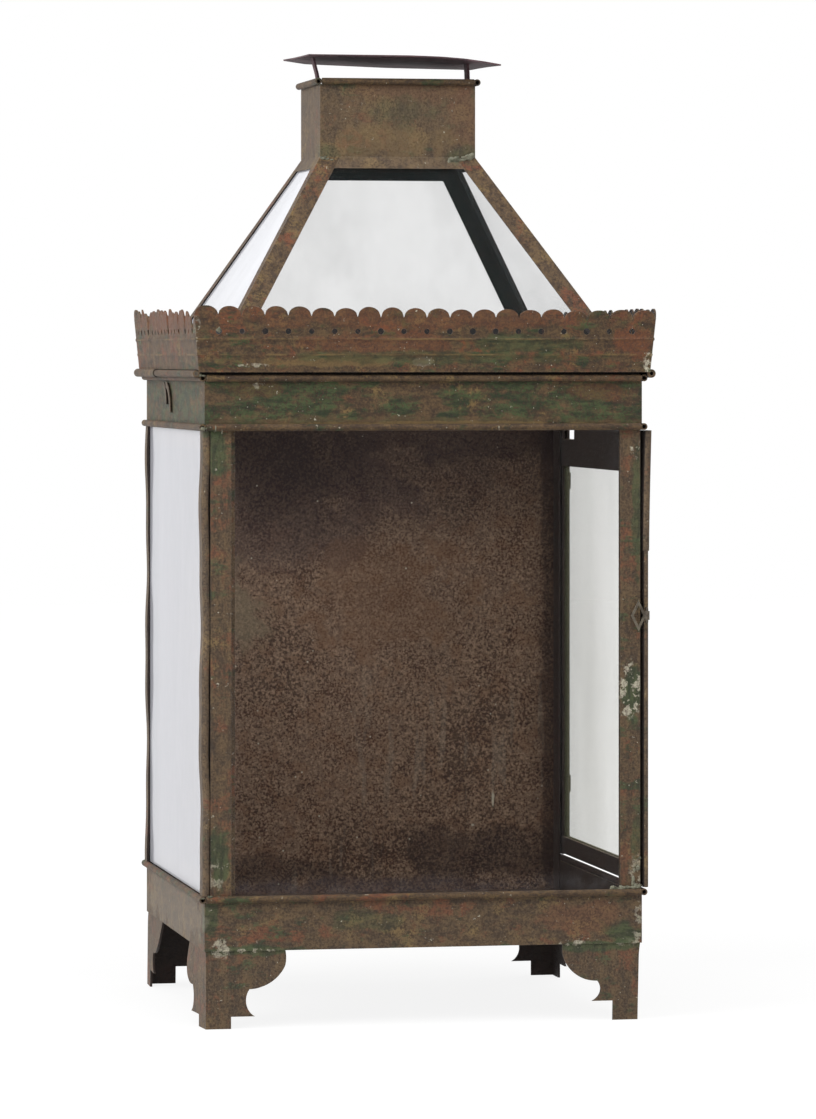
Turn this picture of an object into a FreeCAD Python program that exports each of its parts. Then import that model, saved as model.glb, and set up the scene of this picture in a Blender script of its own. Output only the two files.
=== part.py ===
import FreeCAD, Part
import math
import os

# A large candle lantern of painted sheet iron and glass, in millimetres.
# Its front faces -Y, its door is on +X, its lid hinge on -X, and +Z is up.
# The origin is on the ground, under the middle of the body.

# Stock: sheet iron, bracket iron, rolled wired edges and window glass
sheet = 1.0
foot_sheet = 1.5
bead_radius = 2.3
bead_hollow = 1.4
bead_hollow_depth = 7.0
glass = 2.0
fit = 0.1

# Body: feet, plinth, glazed chamber and frieze, stacked from the ground up
body_width = 300.0
body_depth = 270.0
foot_height = 52.0
plinth_height = 34.5
chamber_height = 315.5
frieze_height = 33.0
post_face = 14.0
post_side = 14.0
post_stop = 20.0
post_lip = 3.0
post_top_drop = 6.0
front_glass_rise = 8.0

# Bracket feet: an ovolo, a cove under it, a pointed ear and a square toe
foot_leaf = 54.0
foot_ovolo = 25.5
foot_cove = 2.2
foot_ear_reach = 32.0
foot_ear_height = 10.5
foot_toe = 15.0
foot_side_stretch = 1.3
foot_lap = 10.0

# Framed side lights: the fixed one on the left and the door on the right
frame_thick = 5.4
frame_width = 13.0
frame_slot = 7.0
frame_proud = 1.2
door_stand = 0.4
door_lift = 0.7
door_head = 1.2
door_top_width = 28.0
door_notch_length = 38.0
door_notch_depth = 8.5
door_front_lap = 0.5
door_back_short = 9.0

# Door hinges: strap knuckles on loose pins near the top and the bottom
hinge_inset = 3.5
hinge_end = 45.0
knuckle_length = 12.0
knuckle_radius = 2.7
pin_radius = 1.2
hinge_foot = 7.6
strap_reach = 17.5
running_fit = 0.08
seat_fit = 0.02
knuckle_gap = 0.4

# Hasp: a lozenge ring on a wire staple, which folds over the front post
hasp_height = 187.5
hasp_half_width = 5.2
hasp_half_height = 10.5
hasp_strip = 1.7
hasp_thick = 1.3
hasp_stand = 2.7
hasp_barrel_radius = 1.7
hasp_barrel_length = 6.0
staple_radius = 0.85
staple_height = 9.0

# Crescent air vents in the left side of the frieze: lips pressed outwards over slits
vent_spots = ((31.0, 21.5), (43.5, 16.0))
vent_drop = 2.7
vent_width = 4.5
vent_slit_edge = 1.0
vent_lip_proud = 1.8
vent_lip_sheet = 0.6

# Lid: pierced gallery, ledge, hipped glass roof, chimney and rain cap
gallery_lift = 4.0
gallery_height = 43.0
gallery_out = 4.7
gallery_flare = 3.8
scallop_pitch = 15.85
scallop_rise = 6.6
hole_radius = 1.7
hole_drop = 9.0
ledge_lift = 1.2
ledge_width = 17.0
collar_drop = 5.0
collar_gap = 0.6
roof_inset = 4.0
roof_rise = 146.0
hip_flange = 14.0
hip_sheet = 1.2
pane_margin = 4.0
pane_head_drop = 3.0
eaves_rail_rise = 30.0
back_rail_drop = 13.5
skirt_drop = 8.0
chimney_width = 109.0
chimney_depth = 77.0
chimney_height = 52.0
vent_gap = 13.5
cap_width = 135.0
cap_depth = 103.0
cap_rise = 3.0
cap_slope_run = 40.0
cap_strap_width = 8.0
cap_strap_thick = 1.6
cap_strap_lap = 14.0
cap_strap_forward = 20.0

# Lid hinge: the edges of gallery and frieze rolled round one long wire
lid_hinge_out = 6.0
lid_hinge_rise = 3.0
lid_wire_radius = 1.3
lid_knuckle_radius = 2.9
lid_knuckle_length = 94.0
lid_hinge_end = 3.0
lid_hinge_clear = 0.4
lid_strap_bite = 0.7

# Levels and half sizes that follow from the sizes above
half_x = body_width / 2
half_y = body_depth / 2
inner_x = half_x - sheet
inner_y = half_y - sheet
bead_touch = math.sqrt(bead_radius ** 2 - (bead_radius - sheet) ** 2)
z_plinth_bead = foot_height + plinth_height
z_floor = foot_height + foot_lap + sheet
z_frieze = z_plinth_bead + chamber_height
z_frieze_top = z_frieze + frieze_height
z_post_top = z_frieze_top - post_top_drop
z_gallery = z_frieze_top + gallery_lift
z_crest = z_gallery + gallery_height
z_valley = z_crest - scallop_rise
z_ledge = z_gallery + ledge_lift
z_roof = z_ledge + sheet
z_chimney = z_roof + roof_rise
z_chimney_bead = z_chimney + chimney_height
z_cap = z_chimney_bead + bead_radius + vent_gap
gallery_foot = (half_x + gallery_out, half_y + gallery_out)
gallery_head = (gallery_foot[0] + gallery_flare, gallery_foot[1] + gallery_flare)
roof_foot = (half_x - roof_inset, half_y - roof_inset)
roof_head = (chimney_width / 2, chimney_depth / 2)
left_post_x = half_x + frame_proud - frame_thick - fit
left_frame_x = -(half_x + frame_proud - frame_thick / 2)
door_x = half_x + door_stand + frame_thick / 2
door_y = (-(inner_y + door_front_lap), half_y - door_back_short)
door_z = (z_plinth_bead + bead_radius + door_lift, z_frieze - bead_radius - door_head)
door_outer = door_x + frame_thick / 2
door_axis = (door_outer + sheet - knuckle_radius, half_y - hinge_inset)
hasp_axis = (door_x, door_y[0] - hasp_stand)
hasp_z = z_plinth_bead + hasp_height
lid_axis = (-(half_x + lid_hinge_out), z_frieze_top + lid_hinge_rise)
lid_hinge_half = half_y + lid_hinge_end


def vec(x, y, z):
    return FreeCAD.Vector(x, y, z)


def block(x0, x1, y0, y1, z0, z1):
    return Part.makeBox(x1 - x0, y1 - y0, z1 - z0, vec(x0, y0, z0))


def flat(points):
    return Part.Face(Part.makePolygon(points + points[:1]))


def mirrored(shape, side_x, side_y):
    # A piece drawn at the front left corner, carried to another corner.
    result = shape
    if side_x > 0:
        result = result.mirror(vec(0, 0, 0), vec(1, 0, 0))
    if side_y > 0:
        result = result.mirror(vec(0, 0, 0), vec(0, 1, 0))
    return result


def slab(bottom, top):
    # A solid with straight edges from each bottom corner to its top corner.
    faces = [flat(bottom), flat(top)]
    for i in range(len(bottom)):
        j = (i + 1) % len(bottom)
        faces.append(flat([bottom[i], bottom[j], top[j], top[i]]))
    solid = Part.makeSolid(Part.makeShell(faces))
    if solid.Volume < 0:
        solid.reverse()
    return solid


def corners(half, z, inset=0.0):
    x = half[0] - inset
    y = half[1] - inset
    return [vec(-x, -y, z), vec(x, -y, z), vec(x, y, z), vec(-x, y, z)]


def frustum(half_low, z_low, half_high, z_high, inset=0.0):
    return slab(corners(half_low, z_low, inset), corners(half_high, z_high, inset))


def band(half, thick, z0, z1):
    # A strip of sheet bent round a rectangle.
    return frustum(half, z0, half, z1).cut(frustum(half, z0, half, z1, thick))


def rolled_edge(start, direction, length):
    # A wired edge: the sheet is rolled round a wire that stops short of both open ends.
    roll = rod(start, direction, bead_radius, length)
    for end in (start, start + direction * (length - bead_hollow_depth)):
        roll = roll.cut(rod(end, direction, bead_hollow, bead_hollow_depth))
    return roll


def beads(half, z):
    # Edges rolled outwards along the four sides of a band: the side ones run through.
    x = half[0] - sheet + bead_radius
    y = half[1] - sheet + bead_radius
    reach_x = x - bead_radius - fit
    reach_y = y
    rods = []
    for side in (-1, 1):
        rods.append(rolled_edge(vec(-reach_x, side * y, z), vec(1, 0, 0), 2 * reach_x))
        rods.append(rolled_edge(vec(side * x, -reach_y, z), vec(0, 1, 0), 2 * reach_y))
    return Part.makeCompound(rods)


def rod(start, direction, radius, length):
    return Part.makeCylinder(radius, length, start, direction)


def tube(start, direction, radius, bore, length):
    return rod(start, direction, radius, length).cut(rod(start, direction, bore, length))


def foot_outline(along, stretch):
    # The bracket's outline in the plane of one leaf, from its corner outwards.
    def at(u, w):
        return vec(along.x * u * stretch, along.y * u * stretch, w)

    neck = (foot_leaf - foot_ovolo, foot_height - foot_ovolo)
    swell = foot_ovolo * math.sqrt(0.5)
    ear = at(foot_ear_reach, foot_ear_height)
    waist = at(neck[0] - foot_cove, (neck[1] + foot_ear_height) / 2)
    shoulder = at(foot_leaf, foot_height)
    belly = at(neck[0] + swell, foot_height - swell)
    top = foot_height + foot_lap
    straight = [ear, at(foot_toe, foot_ear_height), at(foot_toe, 0), at(0, 0)]
    straight += [at(0, top), at(foot_leaf, top), shoulder]
    edges = Part.makePolygon(straight).Edges
    edges.append(Part.Arc(shoulder, belly, at(*neck)).toShape())
    edges.append(Part.Arc(at(*neck), waist, ear).toShape())
    return Part.Face(Part.Wire(edges))


def foot(side_x, side_y):
    front = foot_outline(vec(1, 0, 0), 1.0).extrude(vec(0, foot_sheet, 0))
    side = foot_outline(vec(0, 1, 0), foot_side_stretch).extrude(vec(foot_sheet, 0, 0))
    bracket = front.fuse(side).removeSplitter()
    bracket.translate(vec(-inner_x, -inner_y, 0))
    return mirrored(bracket, side_x, side_y)


def post(outer_x, side_x, side_y):
    # A corner angle; the front ones are folded back behind the glass as well, and the side
    # leg of the back right one is wider, as the door's stop.
    reach = post_stop if side_x > 0 and side_y > 0 else post_side
    legs = block(-outer_x, -outer_x + post_face, -inner_y, -inner_y + sheet, z_floor, z_post_top)
    side = block(-outer_x, -outer_x + sheet, -inner_y, -inner_y + reach, z_floor, z_post_top)
    legs = legs.fuse(side)
    if side_y < 0:
        y = -inner_y + sheet + glass + 2 * fit
        lip = post_lip if side_x < 0 else 0
        edge = -outer_x + post_face + lip
        legs = legs.fuse(block(-outer_x, edge, y, y + sheet, z_floor, z_post_top))
    return mirrored(legs.removeSplitter(), side_x, side_y)


def back_panel():
    y = inner_y - sheet
    return block(-left_post_x + sheet, inner_x - sheet, y - sheet, y, z_floor, z_post_top)


def front_glass():
    y = -inner_y + sheet + fit
    x0 = -left_post_x + sheet + fit
    x1 = inner_x - sheet - fit
    return block(x0, x1, y, y + glass, z_floor, z_frieze + front_glass_rise)


def channel(start, inward, run, width):
    # A rail with a rolled outer edge and a slot for the glass on its inner edge.
    round_radius = frame_thick / 2
    half_slot = glass / 2 + fit
    slot_end = width - frame_slot

    def at(u, t):
        return start + inward * u + vec(t, 0, 0)

    points = [at(round_radius, round_radius), at(width, round_radius)]
    points += [at(width, half_slot), at(slot_end, half_slot)]
    points += [at(slot_end, -half_slot), at(width, -half_slot)]
    points += [at(width, -round_radius), at(round_radius, -round_radius)]
    edges = Part.makePolygon(points).Edges
    edges.append(Part.Arc(points[-1], at(0, 0), points[0]).toShape())
    return Part.Face(Part.Wire(edges)).extrude(run)


def framed_light(name, x, y_range, z_range, pane_range):
    # Two stiles and the pane in their slots.
    y0, y1 = y_range
    z0, z1 = z_range
    tall = vec(0, 0, z1 - z0)
    edge = frame_width - frame_slot + fit
    pane = block(x - glass / 2, x + glass / 2, y0 + edge, y1 - edge, pane_range[0], pane_range[1])
    return {
        name + "_front_stile": channel(vec(x, y0, z0), vec(0, 1, 0), tall, frame_width),
        name + "_back_stile": channel(vec(x, y1, z0), vec(0, -1, 0), tall, frame_width),
        name + "_glass": pane,
    }


def left_light():
    # The fixed light: its pane runs from plinth to frieze, in front of two flat rails.
    z0 = z_plinth_bead + bead_radius + fit
    z1 = z_frieze - bead_radius - fit
    reach = inner_y - frame_width
    behind = left_frame_x + glass / 2 + fit
    inside = left_frame_x + frame_thick / 2
    pieces = framed_light("left_light", left_frame_x, (-inner_y, inner_y), (z0, z1), (z0 + fit, z1 - fit))
    for name, low in (("bottom", z0), ("top", z1 - frame_width)):
        pieces["left_light_" + name + "_rail"] = block(
            behind, inside, -reach, reach, low, low + frame_width)
    return pieces


def door_leaf():
    # The door: its top rail is wider than the others and notched at its back end.
    y0, y1 = door_y
    z0, z1 = door_z
    wide = vec(0, y1 - y0 - 2 * frame_width, 0)
    pane_foot = z0 + frame_width - frame_slot + fit
    pane_top = z1 - door_top_width + frame_slot - fit
    pieces = framed_light("door", door_x, door_y, door_z, (pane_foot, pane_top))
    foot_start = vec(door_x, y0 + frame_width, z0)
    head_start = vec(door_x, y0 + frame_width, z1)
    back = y1 - frame_width
    notch = block(door_x - frame_thick, door_x + frame_thick, back - door_notch_length, back,
                  z1 - door_notch_depth, z1)
    pieces["door_bottom_rail"] = channel(foot_start, vec(0, 0, 1), wide, frame_width)
    pieces["door_top_rail"] = channel(head_start, vec(0, 0, -1), wide, door_top_width).cut(notch)
    return pieces


def crescent(spot, outer, inner, x0, x1):
    # A quarter ring in the left wall, rising backwards to the bead; its radii are set in from the spot's.
    back, radius = spot
    centre = vec(x0, back, z_frieze_top - vent_drop - radius)
    ring = tube(centre, vec(1, 0, 0), radius - outer, radius - inner, x1 - x0)
    quarter = block(x0, x1, back - 2 * radius, back, centre.z, centre.z + 2 * radius)
    return ring.common(quarter)


def frieze_band():
    walls = band((half_x, half_y), sheet, z_frieze + bead_touch, z_frieze_top - bead_touch)
    inner = vent_width - vent_lip_sheet
    for spot in vent_spots:
        walls = walls.cut(crescent(spot, vent_slit_edge, inner, -half_x - sheet, -half_x + 2 * sheet))
    return walls


def frieze_vent_lips():
    # Each lip is closed along its inner curve and open along its outer one.
    face = -half_x - vent_lip_proud
    lips = []
    for spot in vent_spots:
        lip = crescent(spot, 0, vent_width, face, -half_x)
        space = crescent(spot, -sheet, vent_width - vent_lip_sheet, face + vent_lip_sheet, -half_x)
        lips.append(lip.cut(space))
    return Part.makeCompound(lips)


def hinge_centres():
    return (door_z[0] + hinge_end, door_z[1] - hinge_end)


def door_strap(z):
    # The door's leaf: a strap on the outer face, rolled round the pin.
    x, y = door_axis
    z0 = z + knuckle_gap / 2
    z1 = z + knuckle_length
    leaf = block(door_outer, door_outer + sheet, y - strap_reach, y, z0, z1)
    barrel = rod(vec(x, y, z0), vec(0, 0, 1), knuckle_radius, z1 - z0)
    bore = rod(vec(x, y, z0), vec(0, 0, 1), pin_radius + running_fit, z1 - z0)
    return leaf.fuse(barrel).cut(bore).removeSplitter()


def post_strap(z):
    # The fixed leaf below it: folded on the back right post, rolled round the pin.
    x, y = door_axis
    z0 = z - knuckle_length
    z1 = z - knuckle_gap / 2
    back = y + knuckle_radius
    leaf = block(inner_x, x, back - sheet, back, z0, z1)
    pad = block(inner_x, inner_x + sheet, back - hinge_foot, back, z0, z1)
    barrel = rod(vec(x, y, z0), vec(0, 0, 1), knuckle_radius, z1 - z0)
    bore = rod(vec(x, y, z0), vec(0, 0, 1), pin_radius + seat_fit, z1 - z0)
    return leaf.fuse(pad).fuse(barrel).cut(bore).removeSplitter()


def door_pin(z):
    start = vec(door_axis[0], door_axis[1], z - knuckle_length)
    return rod(start, vec(0, 0, 1), pin_radius, 2 * knuckle_length)


def hasp_staple():
    # A wire bent to a U, with both ends in the rolled edge of the front stile.
    x, y = hasp_axis
    low = hasp_z - staple_height / 2
    wire = rod(vec(x, y, low), vec(0, 0, 1), staple_radius, staple_height)
    for z in (low, low + staple_height):
        wire = wire.fuse(Part.makeSphere(staple_radius, vec(x, y, z)))
        wire = wire.fuse(rod(vec(x, y, z), vec(0, 1, 0), staple_radius, hasp_stand + frame_thick / 2))
    edge = rod(vec(door_x, door_y[0] + frame_thick / 2, door_z[0]), vec(0, 0, 1),
               frame_thick / 2, door_z[1] - door_z[0])
    return wire.cut(edge).Solids[0]


def hasp_ring():
    x, y = hasp_axis
    middle = x - hasp_barrel_radius - hasp_half_width + hasp_strip / 2

    def lozenge(inset):
        wide = hasp_half_width - inset
        high = hasp_half_height - inset * hasp_half_height / hasp_half_width
        front = y - hasp_thick / 2
        outline = [vec(middle - wide, front, hasp_z), vec(middle, front, hasp_z - high)]
        outline += [vec(middle + wide, front, hasp_z), vec(middle, front, hasp_z + high)]
        return flat(outline).extrude(vec(0, hasp_thick, 0))

    low = vec(x, y, hasp_z - hasp_barrel_length / 2)
    up = vec(0, 0, 1)
    ring = lozenge(0).cut(lozenge(hasp_strip))
    ring = ring.fuse(rod(low, up, hasp_barrel_radius, hasp_barrel_length))
    return ring.cut(rod(low, up, staple_radius + running_fit, hasp_barrel_length)).removeSplitter()


def flared_wall(index, half_low, z_low, half_high, z_high, thick):
    # One of four flat strips of a flared box, mitred to its neighbours.
    following = (index + 1) % 4
    quads = []
    for half, z in ((half_low, z_low), (half_high, z_high)):
        outer = corners(half, z)
        inner = corners(half, z, thick)
        quads.append([outer[index], outer[following], inner[following], inner[index]])
    return slab(quads[0], quads[1])


def scallops(length, along, through):
    # Everything under a row of round scallops, and the punched holes.
    count = max(1, round(length / scallop_pitch))
    pitch = length / count
    base = z_gallery - gallery_height

    def at(s, z):
        return vec(along.x * s, along.y * s, z) - through * length

    start = -length / 2
    outline = [at(-start, z_valley), at(-start + pitch, z_valley), at(-start + pitch, base)]
    outline += [at(start - pitch, base), at(start - pitch, z_valley), at(start, z_valley)]
    edges = Part.makePolygon(outline).Edges
    holes = []
    for i in range(count):
        s = start + i * pitch
        crest = at(s + pitch / 2, z_crest)
        edges.append(Part.Arc(at(s, z_valley), crest, at(s + pitch, z_valley)).toShape())
        if i > 0:
            holes.append(rod(at(s, z_valley - hole_drop), through, hole_radius, 2 * length))
    keep = Part.Face(Part.Wire(Part.__sortEdges__(edges))).extrude(through * (2 * length))
    return keep, Part.makeCompound(holes)


def gallery_wall(index):
    wall = flared_wall(index, gallery_foot, z_gallery, gallery_head, z_crest, sheet)
    if index % 2 == 0:
        keep, holes = scallops(2 * gallery_head[0], vec(1, 0, 0), vec(0, 1, 0))
    else:
        keep, holes = scallops(2 * gallery_head[1], vec(0, 1, 0), vec(1, 0, 0))
    wall = wall.common(keep).cut(holes)
    for side in (-1, 1):
        wall = wall.cut(lid_roll(side, lid_knuckle_radius))
    return wall.cut(lid_sleeve_space())


def lid_roll(side, radius):
    # A round along the gallery's rolled edge: at the back on the left, at the front on the right.
    start = lid_hinge_half - lid_knuckle_length if side < 0 else -lid_hinge_half
    place = vec(side * -lid_axis[0], start, lid_axis[1])
    return rod(place, vec(0, 1, 0), radius, lid_knuckle_length)


def lid_knuckle(side, bore):
    return lid_roll(side, lid_knuckle_radius).cut(lid_roll(side, bore))


def lid_sleeve_range():
    return (-lid_hinge_half, lid_hinge_half - lid_knuckle_length - lid_hinge_clear)


def lid_sleeve_space():
    # Room over the frieze's part of the hinge, cut from the gallery's lower edge.
    y0, y1 = lid_sleeve_range()
    x, z = lid_axis
    reach = bead_radius + lid_hinge_clear
    return block(x - reach, x + reach, y0, y1 + lid_hinge_clear, z - reach, z + reach)


def lid_sleeve():
    # The frieze's part of the hinge, with the strap that carries it on the bead.
    y0, y1 = lid_sleeve_range()
    x, z = lid_axis
    bead_x = -(inner_x + bead_radius)
    top = z - bead_radius + lid_strap_bite
    sleeve = rod(vec(x, y0, z), vec(0, 1, 0), bead_radius, y1 - y0)
    strap = block(x, bead_x, -inner_y + bead_radius, y1, top - sheet, top)
    side_bead = rod(vec(bead_x, -half_y, z_frieze_top), vec(0, 1, 0), bead_radius, body_depth)
    strap = strap.cut(side_bead)
    bore = rod(vec(x, y0, z), vec(0, 1, 0), lid_wire_radius + seat_fit, y1 - y0)
    return sleeve.fuse(strap).cut(bore).removeSplitter()


def lid_wire():
    start = vec(lid_axis[0], -lid_hinge_half, lid_axis[1])
    return rod(start, vec(0, 1, 0), lid_wire_radius, 2 * lid_hinge_half)


def eaves_ledge():
    outer = (gallery_foot[0] - sheet, gallery_foot[1] - sheet)
    return band(outer, ledge_width, z_ledge, z_roof)


def lid_collar():
    # A strip under the ledge that stands just inside the frieze when the lid is shut.
    outline = (inner_x - collar_gap, inner_y - collar_gap)
    return band(outline, sheet, z_ledge - collar_drop, z_ledge)


def hip(side_x, side_y):
    # An angle strip along one hip: its level section carried up the hip line.
    x, y = -roof_foot[0], -roof_foot[1]
    reach, thick = hip_flange, hip_sheet
    section = [(0, 0), (reach, 0), (reach, thick), (thick, thick), (thick, reach), (0, reach)]
    rise = vec(roof_foot[0] - roof_head[0], roof_foot[1] - roof_head[1], roof_rise)
    outline = [vec(x + u, y + w, z_roof) for u, w in section]
    return mirrored(flat(outline).extrude(rise), side_x, side_y)


def roof_half(rise):
    # Half sizes of the hipped roof, at a height above its foot.
    share = rise / roof_rise
    return tuple(low + (high - low) * share for low, high in zip(roof_foot, roof_head))


def roof_strip(index, rises, inset, margin, thick):
    # A trapezoid in one slope of the roof, between two levels and two hips.
    across = 1 - index % 2
    side = -1 if index in (0, 3) else 1
    quads = []
    for rise in rises:
        half = roof_half(rise)
        z = z_roof + rise
        outer = half[across] - inset
        length = half[1 - across] - margin
        spots = [(-length, outer), (length, outer), (length, outer - thick), (-length, outer - thick)]
        if across == 1:
            quads.append([vec(s, side * d, z) for s, d in spots])
        else:
            quads.append([vec(side * d, s, z) for s, d in spots])
    return slab(quads[0], quads[1])


def roof_pane(index):
    # Glass under the flanges of two hips.
    across = 1 - index % 2
    run = roof_foot[across] - roof_head[across]
    thick = glass * math.hypot(run, roof_rise) / roof_rise
    rises = (fit, roof_rise - pane_head_drop)
    return roof_strip(index, rises, hip_sheet + fit, hip_sheet + pane_margin, thick)


def roof_rails():
    # Strips over the foot of each pane, behind the gallery, and one at the head of the back pane.
    margin = hip_flange + fit
    rails = [roof_strip(index, (0, eaves_rail_rise), 0, margin, hip_sheet) for index in range(len(sides))]
    head = (roof_rise - back_rail_drop, roof_rise - skirt_drop)
    rails.append(roof_strip(sides.index("back"), head, 0, margin, hip_sheet))
    return Part.makeCompound(rails)


def chimney_skirt():
    # Flaps between the heads of the hips, which close the roof against the chimney.
    rises = (roof_rise - skirt_drop, roof_rise)
    margin = hip_flange + fit
    flaps = [roof_strip(index, rises, 0, margin, hip_sheet) for index in range(len(sides))]
    return Part.makeCompound(flaps)


def chimney():
    return band(roof_head, sheet, z_chimney, z_chimney_bead - bead_touch)


def cap_hollow():
    # The space under the low hipped cap, from its rim up to the sheet.
    rim = (cap_width / 2, cap_depth / 2)
    top = (rim[0] - cap_slope_run, rim[1] - cap_slope_run)
    return frustum(rim, z_cap, top, z_cap + cap_rise)


def vent_cap():
    rim = (cap_width / 2, cap_depth / 2)
    edge = frustum(rim, z_cap, rim, z_cap + sheet)
    slopes = cap_hollow()
    slopes.translate(vec(0, 0, sheet))
    return edge.fuse(slopes).cut(cap_hollow()).removeSplitter()


def cap_strap(side):
    # A flat strap inside one short wall of the chimney, which carries the cap.
    outer = side * (roof_head[0] - sheet)
    x0, x1 = sorted((outer, outer - side * cap_strap_thick))
    y0 = -cap_strap_forward - cap_strap_width / 2
    y1 = y0 + cap_strap_width
    under = block(x0, x1, y0, y1, z_chimney_bead - cap_strap_lap, z_cap)
    head = block(x0, x1, y0, y1, z_cap, z_cap + cap_rise).common(cap_hollow())
    return under.fuse(head).removeSplitter()


sides = ("front", "right", "back", "left")
corner_signs = {
    "front_left": (-1, -1),
    "front_right": (1, -1),
    "back_left": (-1, 1),
    "back_right": (1, 1),
}


def lantern_body():
    pieces = {}
    for corner, (side_x, side_y) in corner_signs.items():
        pieces["foot_" + corner] = foot(side_x, side_y)
        outer_x = left_post_x if side_x < 0 else inner_x
        pieces["post_" + corner] = post(outer_x, side_x, side_y)
    outline = (half_x, half_y)
    pieces["plinth_band"] = band(outline, sheet, foot_height, z_plinth_bead - bead_touch)
    pieces["plinth_beads"] = beads(outline, z_plinth_bead)
    pieces["floor_plate"] = block(-inner_x, inner_x, -inner_y, inner_y, z_floor - sheet, z_floor)
    pieces["back_panel"] = back_panel()
    pieces["front_glass"] = front_glass()
    pieces.update(left_light())
    pieces["frieze_band"] = frieze_band()
    pieces["frieze_bottom_beads"] = beads(outline, z_frieze)
    pieces["frieze_top_beads"] = beads(outline, z_frieze_top)
    pieces["frieze_vent_lips"] = frieze_vent_lips()
    pieces["lid_hinge_sleeve"] = lid_sleeve()
    pieces["lid_hinge_wire"] = lid_wire()
    pieces["door_post_straps"] = Part.makeCompound([post_strap(z) for z in hinge_centres()])
    pieces["door_hinge_pins"] = Part.makeCompound([door_pin(z) for z in hinge_centres()])
    return pieces


def lantern_lid():
    pieces = {}
    for index, side in enumerate(sides):
        pieces["gallery_" + side] = gallery_wall(index)
        pieces["roof_glass_" + side] = roof_pane(index)
    for corner, signs in corner_signs.items():
        pieces["hip_" + corner] = hip(*signs)
    for name, side in (("left", -1), ("right", 1)):
        pieces["cap_strap_" + name] = cap_strap(side)
    pieces["eaves_ledge"] = eaves_ledge()
    pieces["lid_collar"] = lid_collar()
    pieces["roof_rails"] = roof_rails()
    pieces["lid_hinge_knuckle"] = lid_knuckle(-1, lid_wire_radius + running_fit)
    pieces["gallery_right_roll"] = lid_knuckle(1, lid_wire_radius)
    pieces["chimney_skirt"] = chimney_skirt()
    pieces["chimney_walls"] = chimney()
    pieces["chimney_beads"] = beads(roof_head, z_chimney_bead)
    pieces["vent_cap"] = vent_cap()
    return pieces


def lantern_door():
    pieces = door_leaf()
    pieces["door_straps"] = Part.makeCompound([door_strap(z) for z in hinge_centres()])
    pieces["hasp_staple"] = hasp_staple()
    pieces["hasp_ring"] = hasp_ring()
    return pieces


os.makedirs("parts", exist_ok=True)
for build in (lantern_body, lantern_lid, lantern_door):
    for node, shape in build().items():
        shape.exportStep("parts/" + node + ".step")
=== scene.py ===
import math

import bmesh
import bpy
from mathutils import Matrix, Vector


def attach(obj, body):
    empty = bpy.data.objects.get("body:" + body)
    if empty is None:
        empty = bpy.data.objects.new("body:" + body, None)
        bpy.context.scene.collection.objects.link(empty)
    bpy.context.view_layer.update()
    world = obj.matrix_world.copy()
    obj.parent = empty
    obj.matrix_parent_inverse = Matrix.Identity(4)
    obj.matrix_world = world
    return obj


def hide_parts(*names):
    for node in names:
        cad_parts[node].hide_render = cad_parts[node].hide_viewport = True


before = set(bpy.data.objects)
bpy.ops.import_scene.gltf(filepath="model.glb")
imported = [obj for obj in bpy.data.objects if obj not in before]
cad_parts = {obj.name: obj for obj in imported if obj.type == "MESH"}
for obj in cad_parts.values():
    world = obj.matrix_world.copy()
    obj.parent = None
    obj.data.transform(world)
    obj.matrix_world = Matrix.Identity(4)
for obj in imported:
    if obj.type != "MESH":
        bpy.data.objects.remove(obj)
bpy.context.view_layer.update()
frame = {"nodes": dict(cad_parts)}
nodes = frame["nodes"]

# The photograph's height in pixels, and the camera that sees the lantern as it does
PHOTO_HEIGHT = 1119
FOCAL_PIXELS = 5347
HORIZON_PIXEL = 358.6
SENSOR = 36.0
CAMERA_TURN = math.radians(10.99)
CAMERA_PLACE = (-0.6971, -3.6648, 0.4481)

# Sizes of the worked pieces, in millimetres
GALLERY_FOOT = (154.7, 139.7)
GALLERY_FLARE = 3.8
GALLERY_FOOT_Z = 439.0
GALLERY_HEIGHT = 43.0
SCALLOP_RISE = 6.6
HOLE_RADIUS = 1.95
HOLE_HEIGHT = 27.4
SCRIBED_LINES = (461.2, 450.7)
SCALLOP_LEAN = 1.2
STRIP_SWELL = 4.0
LINE_DEPTH = 0.7
LINE_REACH = 1.4
PUNCH_LENGTH = 20.0
# Height in millimetres below which hips and roof glass are painted dark as shade behind the gallery
SHADE_LINE_HEIGHT = 473.0
SHEET = 1.0
MM = 0.001

# Fineness of the worked pieces
SCALLOP_STEPS = 14
GALLERY_ROWS = 41
HOLE_CORNERS = 18
CLOSE = 1e-6
LOW_ANGLE = 30


def tone(red, green, blue):
    """A colour as it is seen on screen, from 0 to 255, as the shader's linear light."""
    def linear(part):
        share = part / 255
        return share / 12.92 if share <= 0.04045 else ((share + 0.055) / 1.055) ** 2.4
    return (linear(red), linear(green), linear(blue), 1.0)


class Value:
    """A node's socket that takes part in sums."""

    def __init__(self, nodes, socket):
        self.nodes = nodes
        self.socket = socket

    def __add__(self, other):
        return self.nodes.sum("ADD", self, other)

    def __sub__(self, other):
        return self.nodes.sum("SUBTRACT", self, other)

    def __rsub__(self, other):
        return self.nodes.sum("SUBTRACT", other, self)

    def __mul__(self, other):
        return self.nodes.sum("MULTIPLY", self, other)

    def __truediv__(self, other):
        return self.nodes.sum("DIVIDE", self, other)

    def __pow__(self, other):
        return self.nodes.sum("POWER", self, other)

    __radd__ = __add__
    __rmul__ = __mul__


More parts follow.
